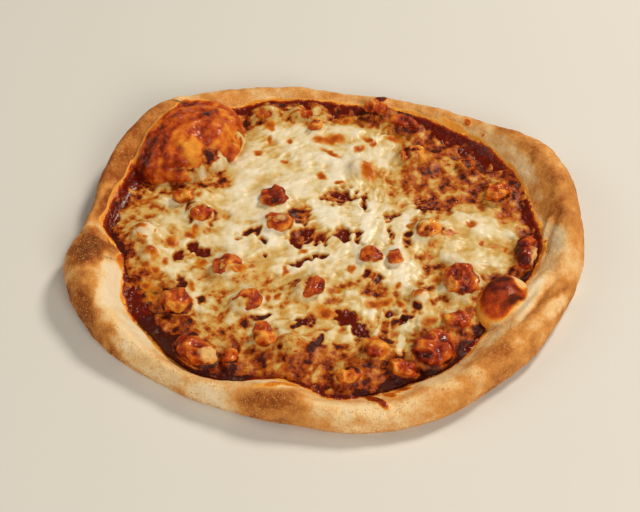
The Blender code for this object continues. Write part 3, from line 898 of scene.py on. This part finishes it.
def chicken_finish(look):
    made = Finish("glazed_chicken", IOR=1.45, Specular_IOR_Level=0.2, Coat_Roughness=0.08)
    # The painted glaze number holds painted light and shade as well as the darkness of each chunk's glaze
    dark, bare = made.painted("glaze"), made.painted("bare")
    blotch, grain = made.uneven(5, 4, 0.6), made.uneven(1.4, 3)
    tone = dark + 0.4 * blotch + 0.12 * grain
    skin = made.ramp(
        tone, (0.0, AMBER_GLAZE), (0.2, look.thin_glaze), (0.45, RUST_GLAZE), (0.7, RED_GLAZE),
        (1.0, look.glaze),
    )
    skin = made.mix(bare, skin, look.meat)
    relief = made.bump(made.uneven(1.8, 3), 0.4, made.bump(grain, 0.1))
    rough = 0.34 + 0.1 * blotch + 0.15 * bare
    return made.feed(Base_Color=skin, Roughness=rough, Coat_Weight=0.25 - 0.2 * bare, Normal=relief)


class PIZZA_OT_chicken(bpy.types.Operator):
    """Makes the torn, glazed surface of each chunk of chicken"""

    bl_idname = "pizza.chicken"
    bl_label = "Chicken"

    def execute(self, context):
        finish = chicken_finish(context.scene.pizza_chicken)
        for k, (node, (_, dark)) in enumerate(zip(CHUNK_NODES, CHUNKS)):
            body = bmesh.new()
            body.from_mesh(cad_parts[node].data)
            bmesh.ops.remove_doubles(body, verts=body.verts, dist=0.02 * MM)
            for _ in range(CHUNK_CUTS):
                bmesh.ops.subdivide_edges(body, edges=body.edges, cuts=1, use_grid_fill=True)
                bmesh.ops.smooth_vert(
                    body, verts=body.verts, factor=0.6, use_axis_x=True, use_axis_y=True, use_axis_z=True
                )
            mesh = mesh_of(f"diced_{node}", body)
            mesh.materials.clear()
            places = drawn(mesh)
            torn = Uneven(100 + k)
            creased = 0.9 - 3.2 * np.abs(torn(places + 50, 7))
            way = Matrix.Rotation(k, 3, "Z")
            fibres = 0.5 - 2 * np.abs(torn((places @ np.array(way)) * (0.3, 1, 1) + 80, 2.2))
            relief = 1.6 * torn(places, 8) + 0.8 * creased + 0.6 * torn(places, 3.2) + 0.35 * fibres
            write(mesh, places + normals(mesh) * relief[:, None])
            x, y, z = places.T
            bare = np.max([spot(x, y, end, 0.5, 0.5 * torn(places + 20, 3)) for end in PALE_ENDS], axis=0)
            # Painted light and shade: the glaze is lighter towards the top and on ridges and darker low down
            # and in creases, partly glaze that pools low and partly painted shade
            glaze = dark + 0.02 - 0.25 * (z - z.min()) / np.ptp(z) - 0.26 * relief + 0.32 * torn(places, 9)
            paint(mesh, bare=bare, glaze=glaze)
            add_piece(f"diced_{node}", mesh, finish, "glazed_chicken", node)
        return {"FINISHED"}


# Cheese


def lay_cheese(x, y):
    """Thickness of the cheese as laid, how far it is broken into lace, and how far it is melted smooth."""
    values = np.zeros((3, len(x)))
    for patch in LAID:
        values += (np.array(patch[5:])[:, None] - values) * spot(x, y, patch, 0.25)
    return values


def melted_shreds(x, y, uneven):
    """Soft ridges of melted shreds, from 0 to 1, which lie a different way in each part."""
    left = smooth((12 - x) / 26) * smooth((x + 70) / 30)
    right = smooth(x / 24) * smooth((86 - x) / 30)
    high = np.zeros(len(x))
    for seed, (way, share) in enumerate(zip(SHRED_WAYS, (left, right, 1 - left - right))):
        along, aside = turned(x, y, way)
        places = np.column_stack((along / 4.5, aside, np.full(len(x), 40.0 * seed)))
        high += share * smooth(1 - 2.2 * np.abs(uneven(places, 5.2)))
    return high


def strands(x, y, uneven):
    """Stretched strands of cheese, from 0 to 1, which run out from near the middle of the pizza."""
    dx, dy = x - STRANDS_FROM[0], y - STRANDS_FROM[1]
    turn = np.arctan2(dy, dx) + 0.3 * uneven(flat(x, y), 26)
    away = np.hypot(dx, dy)
    places = np.column_stack((9 * np.cos(turn), 9 * np.sin(turn), away / 17))
    return smooth(1 - 2.3 * np.abs(uneven(places, 1))) * smooth((78 - away) / 40)


def cheese_over_chunks(x, y, height, thick):
    """Draws the cheese up round each chunk and over a part of it."""
    broad, fine = Uneven(62), Uneven(63)
    for k, ((cover, _), form) in enumerate(zip(CHUNKS, chunk_forms())):
        cx, cy, _, width, _, base, top = form
        share = across(x, y, *form[:5])
        near = share < 3.2
        part, nx, ny = share[near], x[near], y[near]
        places = flat(nx, ny)
        tilt = turned(nx - cx, ny - cy, CHUNK_LEAN * k)[0] / width
        rich = smooth((lay_cheese(np.array([cx]), np.array([cy]))[0] - 0.5) / 1.2)
        coat = 6.5 * (cover - 0.5) + 2.6 * tilt + 1.3 * broad(places, 8) + 0.8 * fine(places, 4)
        coat -= 1.8 * (1 - rich)
        rise = top - base
        chunk = base + rise * np.clip(1 - part**3, 0, None) ** (1 / 3)
        mound = base - 1 + (rise + 1) / (1 + (part / 1.2) ** 3.4)
        mound += np.clip(coat, -6, 0.9 + 2.5 * max(cover - 0.65, 0))
        lower = height[near]
        height[near] = higher(lower, mound, 3.5)
        on_top = smooth((mound - lower + 1.0) / 2.5) * smooth((1.3 - part) / 0.45)
        cap = 0.5 * rich + 1.5 * (height[near] - chunk) + 0.6 * fine(places, 3)
        cap = np.clip(cap, 0.5 * rich - 0.3, 1.0 + 1.7 * rich)
        thick[near] += (cap - thick[near]) * on_top


def cheese_up_lobe(x, y, height, thick):
    """Lets the cheese creep up the foot of the lobe, on the side that faces the toppings."""
    broad, fine = Uneven(64), Uneven(65)
    share = across(x, y, *LOBE[:5])
    dx, dy = x - LOBE[0], y - LOBE[1]
    facing = turned(dx, dy, LOBE_CREEP)[0] / np.maximum(np.hypot(dx, dy), 1)
    places = flat(x, y)
    coat = LOBE_COAT * (0.6 + 0.8 * broad(places, 7) + 0.7 * fine(places, 3.6))
    coat -= 10 * np.clip(0.98 - share, 0, None)
    coat = np.where(share < 1.25, coat - 4 * smooth((0.72 - facing) / 0.4), -9)
    skin = bubble_height(x, y, LOBE) + np.clip(coat, -4, 2.2)
    above = smooth((skin - height + 0.6) / 1.6) * (share < 1.06)
    height[:] = higher(height, skin, 2.5)
    thick += (0.1 + 1.3 * np.clip(coat, 0, 2.2) + 0.6 * broad(places + 30, 5) - thick) * above


def cheese_form(x, y):
    """Height of the cheese's surface, how thick it looks, how far it is toasted, and how far it is lace."""
    broad, fine, ripples = Uneven(62), Uneven(63), Uneven(51)
    places = flat(x, y)
    bearing, radius = polar(x, y)
    wx = x + 2.2 * broad(places, 8) + 0.9 * fine(places, 3.2)
    wy = y + 2.2 * broad(places + 90, 8) + 0.9 * fine(places + 90, 3.2)
    laid, lacy, melted = lay_cheese(wx, wy)
    web = 0.85 * broad(places, 10) + 0.9 * fine(places, 5.2) + 0.4 * fine(places + 40, 2.8)
    past_edge = radius - rim("edge", bearing)
    outer = smooth(-past_edge / 14)
    stretched = strands(x, y, broad)
    full = smooth(laid / 1.5)
    folds = 1.0 * broad(places + 30, 16) + 0.6 * broad(places + 60, 7) + 0.5 * stretched
    folds += (1 - 0.5 * melted) * (1.1 * melted_shreds(wx, wy, broad) - 0.55)
    thick = laid * (0.35 + 0.65 * outer) + lacy * web + full * folds
    for lump in LUMPS:
        round_back = np.sqrt(np.clip(1 - across(wx, wy, *lump[:5]) ** 2, 0, 1))
        thick = np.maximum(thick, lump[5] * round_back)
    wander = 0.6 * fine(places, 3.4)
    for cx, cy, length, width, turn in WINDOWS:
        window = (cx, cy, 1.35 * length, 1.8 * width, turn)
        thick += (-0.9 + 1.6 * stretched - thick) * spot(wx, wy, window, 0.45, wander)
    toasted = np.max([smooth((2.2 - across(wx, wy, *place)) / 2.1) for place in TOASTED], axis=0)
    thick -= 0.25 * np.maximum(thick, 0) * toasted
    reach = 2.5 + SPILL_REACH * np.exp(-(((bearing - SPILL) / SPILL_SPREAD) ** 2))
    thick -= 0.3 * smooth(past_edge / 5)
    thick -= (thick - CHEESE_LOW) * smooth((past_edge - reach - 5 * broad(places, 9)) / 4)
    thick = np.clip(thick, CHEESE_LOW, CHEESE_HIGH)
    risen = (3.0 + 2.2 * melted) * np.tanh(thick / 3.0) * (1 - 0.35 * np.clip(lacy, 0, 1.2))
    height = sauce_top(x, y, ripples) + np.where(thick > 0, risen, thick)
    cheese_over_chunks(x, y, height, thick)
    cheese_up_lobe(x, y, height, thick)
    lace = np.clip(lacy, 0, 1) * smooth((2.6 - thick) / 1.6)
    return height, thick, toasted, lace


def cheese_finish(look):
    made = Finish(
        "melted_cheese", IOR=1.45, Specular_IOR_Level=0.22, Subsurface_Weight=0.12, Subsurface_Scale=0.002,
        Subsurface_Radius=(1.0, 0.7, 0.4), Coat_Roughness=0.2,
    )
    thick, toasted, lace = (made.painted(name) for name in ("thickness", "toasted", "lace"))
    broad, blotch, grain = made.uneven(13, 2), made.uneven(5.5, 2), made.uneven(2.2, 2)
    web, threads = made.uneven(5.2, 3, 0.6), made.uneven(1.5, 2)
    smooth_tone = 0.5 * blotch + 0.2 * grain + 0.6 * broad
    tone = (thick + smooth_tone * (1 - 0.6 * lace) + lace * (1.8 * web + 0.4 * threads) + 0.42) * 0.2
    body = made.ramp(
        tone, (0.02, SAUCY_CHEESE), (0.1, RUST_CHEESE), (0.21, look.orange), (0.31, look.yellow),
        (0.42, STRAW_CHEESE), (0.53, IVORY_CHEESE), (0.76, look.cream),
    )
    oily = made.uneven(8, 3).step(0.3, 0.9) * thick.step(3.6, 1.8) * 0.4
    body = made.mix(oily, body, OILY_CHEESE)
    freckles = made.uneven(4.5, 2).step(0.55, 1.1) * thick.step(2.6, 1.0)
    share = toasted * (0.9 + 0.5 * blotch) + 0.4 * freckles
    brown = made.ramp(share, (0.1, GOLDEN_SPOT), (0.42, AMBER_SPOT), (0.75, BROWN_SPOT), (1.0, look.toasted))
    body = made.mix(share.step(0.05, 0.6), body, brown)
    rough = 0.38 + 0.1 * blotch + 0.12 * lace
    relief = made.bump(made.uneven(6, 1), 0.5, made.bump(made.uneven(2.4, 1), 0.1))
    relief = made.bump(web * lace, 0.7, relief)
    return made.feed(Base_Color=body, Roughness=rough, Coat_Weight=0.18 - 0.18 * lace, Normal=relief)


def wall_last(face):
    """Puts the faces of the cheese's wall in order of their bearing, after those of its grid."""
    x, y, z = face.calc_center_median()
    return face.index if z > -0.25 else CHEESE_CELLS**2 + math.tau + math.atan2(y, x)


class PIZZA_OT_cheese(bpy.types.Operator):
    """Melts the shredded cheese over the sauce and the chicken"""

    bl_idname = "pizza.cheese"
    bl_label = "Cheese"

    def execute(self, context):
        body = bmesh.new()
        bmesh.ops.create_grid(body, x_segments=CHEESE_CELLS, y_segments=CHEESE_CELLS, size=1)
        edges = [edge for edge in body.edges if edge.is_boundary]
        wall = bmesh.ops.extrude_edge_only(body, edges=edges)["geom"]
        low = [part for part in wall if isinstance(part, bmesh.types.BMVert)]
        bmesh.ops.translate(body, vec=(0, 0, -1), verts=low)
        body.faces.index_update()
        body.faces.sort(key=wall_last)  # the extrusion makes its faces in no fixed order
        bmesh.ops.holes_fill(body, edges=[edge for edge in body.edges if edge.is_boundary])
        bmesh.ops.recalc_face_normals(body, faces=body.faces)
        mesh = mesh_of("cheese_layer", body)
        u, v, side = read(mesh.vertices, "co").T
        x, y = u * np.sqrt(1 - v**2 / 2), v * np.sqrt(1 - u**2 / 2)
        bearing, share = polar(x, y)
        x, y = plan(bearing, share * (rim("line", bearing) - CHEESE_INSET))
        height, thick, toasted, lace = cheese_form(x, y)
        height = np.where(side < -0.5, FLOOR + GAP, height)
        write(mesh, np.column_stack((x, y, height)))
        paint(mesh, thickness=thick, toasted=toasted, lace=lace)
        finish = cheese_finish(context.scene.pizza_cheese)
        add_piece("cheese_layer", mesh, finish, "melted_cheese", "melted_cheese")
        return {"FINISHED"}


# Crumbs


def crumb_finish(look):
    made = Finish("semolina", Roughness=0.6)
    tint = made.ramp(made.uneven(2, 2) + 0.5, (0.1, DARK_GRAIN), (0.9, look.tint))
    return made.feed(Base_Color=tint)


class PIZZA_OT_crumbs(bpy.types.Operator):
    """Scatters semolina over the browned front of the crust"""

    bl_idname = "pizza.crumbs"
    bl_label = "Crumbs"

    def execute(self, context):
        look = context.scene.pizza_crumbs
        crust = bpy.data.objects["baked_crust"].data
        places, ways = read(crust.vertices, "co"), normals(crust)
        x, y, z = drawn(crust).T
        bearing, radius = polar(x, y)
        outer = smooth((radius - rim("crest", bearing) + 2) / 6) * (z > 1.5)
        front = smooth((bearing - CRUMB_FRONT[0]) / 12) * smooth((CRUMB_FRONT[1] - bearing) / 20)
        baked = np.array([value.value for value in crust.attributes["baked"].data])
        low, browned = smooth((8 - z) / 6), smooth((baked - 0.5) / 0.25) * (z > 1.5)
        weight = front * (outer * (0.15 + 2.2 * low) + 0.05 * browned)
        weight *= radius > rim("line", bearing) + 4
        draw = np.random.default_rng(71)
        chosen = draw.choice(len(x), size=look.count, replace=False, p=weight / weight.sum())
        body = bmesh.new()
        for batch in np.array_split(chosen, CRUMB_BATCHES):
            few = bmesh.new()
            for k in batch:
                grow = look.width * draw.uniform(0.3, 0.75)
                turn = Matrix.Rotation(draw.uniform(0, math.tau), 4, Vector(draw.normal(size=3)))
                form = Matrix.Diagonal((grow, grow * draw.uniform(0.6, 1), grow * draw.uniform(0.5, 0.9), 1))
                aside = Vector(draw.normal(size=3)) * 0.5 * MM
                aside -= aside.dot(Vector(ways[k])) * Vector(ways[k])
                place = Matrix.Translation(Vector(places[k]) + 0.2 * grow * Vector(ways[k]) + aside)
                bmesh.ops.create_icosphere(few, subdivisions=1, radius=1, matrix=place @ turn @ form)
            part = mesh_of("grains", few)
            body.from_mesh(part)
            bpy.data.meshes.remove(part)
        mesh = mesh_of("semolina", body)
        add_piece("semolina", mesh, crumb_finish(look), "baked_dough")
        return {"FINISHED"}


# Stage


class PIZZA_OT_stage(bpy.types.Operator):
    """Sets up the floor, the soft lights and the camera"""

    bl_idname = "pizza.stage"
    bl_label = "Stage"

    def execute(self, context):
        look, scene = context.scene.pizza_stage, context.scene
        body = bmesh.new()
        bmesh.ops.create_grid(body, x_segments=8, y_segments=8, size=3)
        mesh = mesh_of("floor", body)
        mesh.materials.append(Finish("floor", Base_Color=rgba(look.floor), Roughness=0.8).material)
        floor = add_object("floor", mesh)
        for light in LIGHTS:
            self.add_light(*light)
        scene.world = bpy.data.worlds.new("studio")
        scene.world.use_nodes = True
        background = scene.world.node_tree.nodes["Background"].inputs
        background["Color"].default_value = WORLD_TINT
        background["Strength"].default_value = WORLD_STRENGTH
        scene.view_settings.view_transform = "Standard"
        camera = add_object("camera", bpy.data.cameras.new("camera"))
        camera.data.sensor_width = 36
        camera.data.lens = camera.data.sensor_width / 2 / math.tan(math.radians(VIEW_ANGLE / 2))
        up = look.elevation
        camera.location = Vector(AIM) * MM + look.distance * Vector((0, -math.cos(up), math.sin(up)))
        camera.rotation_euler = (math.pi / 2 - up, 0, 0)
        scene.camera = camera
        return {"FINISHED"}

    def add_light(self, name, place, width, power, tint):
        """An area light that faces the pizza."""
        light = bpy.data.lights.new(name, "AREA")
        light.shape = "DISK"
        light.size = width
        light.energy = power
        light.color = tint
        lamp = add_object(name, light)
        lamp.location = place
        lamp.rotation_euler = Vector(place).to_track_quat("Z", "Y").to_euler()


OPERATORS = (
    PIZZA_OT_dough, PIZZA_OT_sauce, PIZZA_OT_cheese, PIZZA_OT_chicken, PIZZA_OT_crumbs, PIZZA_OT_stage,
)
LOOKS = {
    "pizza_dough": DoughLook,
    "pizza_sauce": SauceLook,
    "pizza_cheese": CheeseLook,
    "pizza_chicken": ChickenLook,
    "pizza_crumbs": CrumbLook,
    "pizza_stage": StageLook,
}


class PIZZA_PT_panel(bpy.types.Panel):
    """Lists the pieces of the pizza and their looks"""

    bl_idname = "PIZZA_PT_panel"
    bl_label = "Pizza"
    bl_space_type = "VIEW_3D"
    bl_region_type = "UI"
    bl_category = "Pizza"

    def draw(self, context):
        for maker, name in zip(OPERATORS, LOOKS):
            box = self.layout.box()
            box.operator(maker.bl_idname)
            for setting in LOOKS[name].__annotations__:
                box.prop(getattr(context.scene, name), setting)


def register():
    for cls in (*LOOKS.values(), *OPERATORS, PIZZA_PT_panel):
        bpy.utils.register_class(cls)
    for name, look in LOOKS.items():
        setattr(bpy.types.Scene, name, bpy.props.PointerProperty(type=look))


def unregister():
    for name in LOOKS:
        delattr(bpy.types.Scene, name)
    for cls in (PIZZA_PT_panel, *reversed(OPERATORS), *reversed(LOOKS.values())):
        bpy.utils.unregister_class(cls)


def main():
    register()
    bpy.ops.pizza.dough()
    bpy.ops.pizza.sauce()
    bpy.ops.pizza.cheese()
    bpy.ops.pizza.chicken()
    bpy.ops.pizza.crumbs()
    bpy.ops.pizza.stage()


if __name__ == "__main__":
    main()
